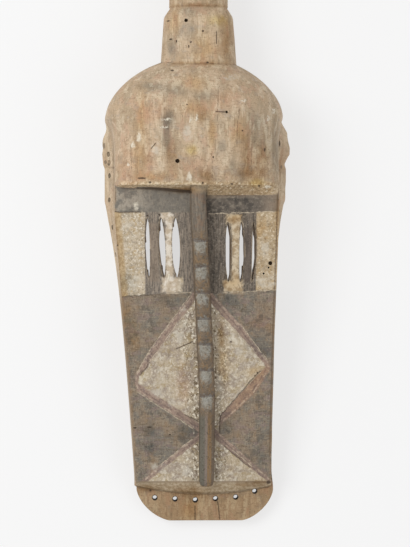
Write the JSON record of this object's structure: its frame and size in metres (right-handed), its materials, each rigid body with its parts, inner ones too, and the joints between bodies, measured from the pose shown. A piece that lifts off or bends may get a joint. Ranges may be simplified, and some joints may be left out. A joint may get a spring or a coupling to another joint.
{
  "type": "carved wooden face mask",
  "caption": "Hollow carved wooden face mask with a domed forehead, eye slits, a toothed ridge and a pierced chin flange, worn over the face.",
  "frame": {"origin": "middle of the bounding box, on the plane of the rear rim that the mask lies on", "axes": "+Y from the chin to the crown, +Z out of the face, +X to the viewer's right with the face towards the viewer"},
  "size_m": [0.2068, 0.625, 0.124],
  "materials": {
    "painted_wood": "dry carved wood, bare on the forehead, with worn white, grey and red-brown earth paint on the face"
  },
  "bodies": {
    "root": {"mask": "painted_wood"}
  },
  "joints": []
}
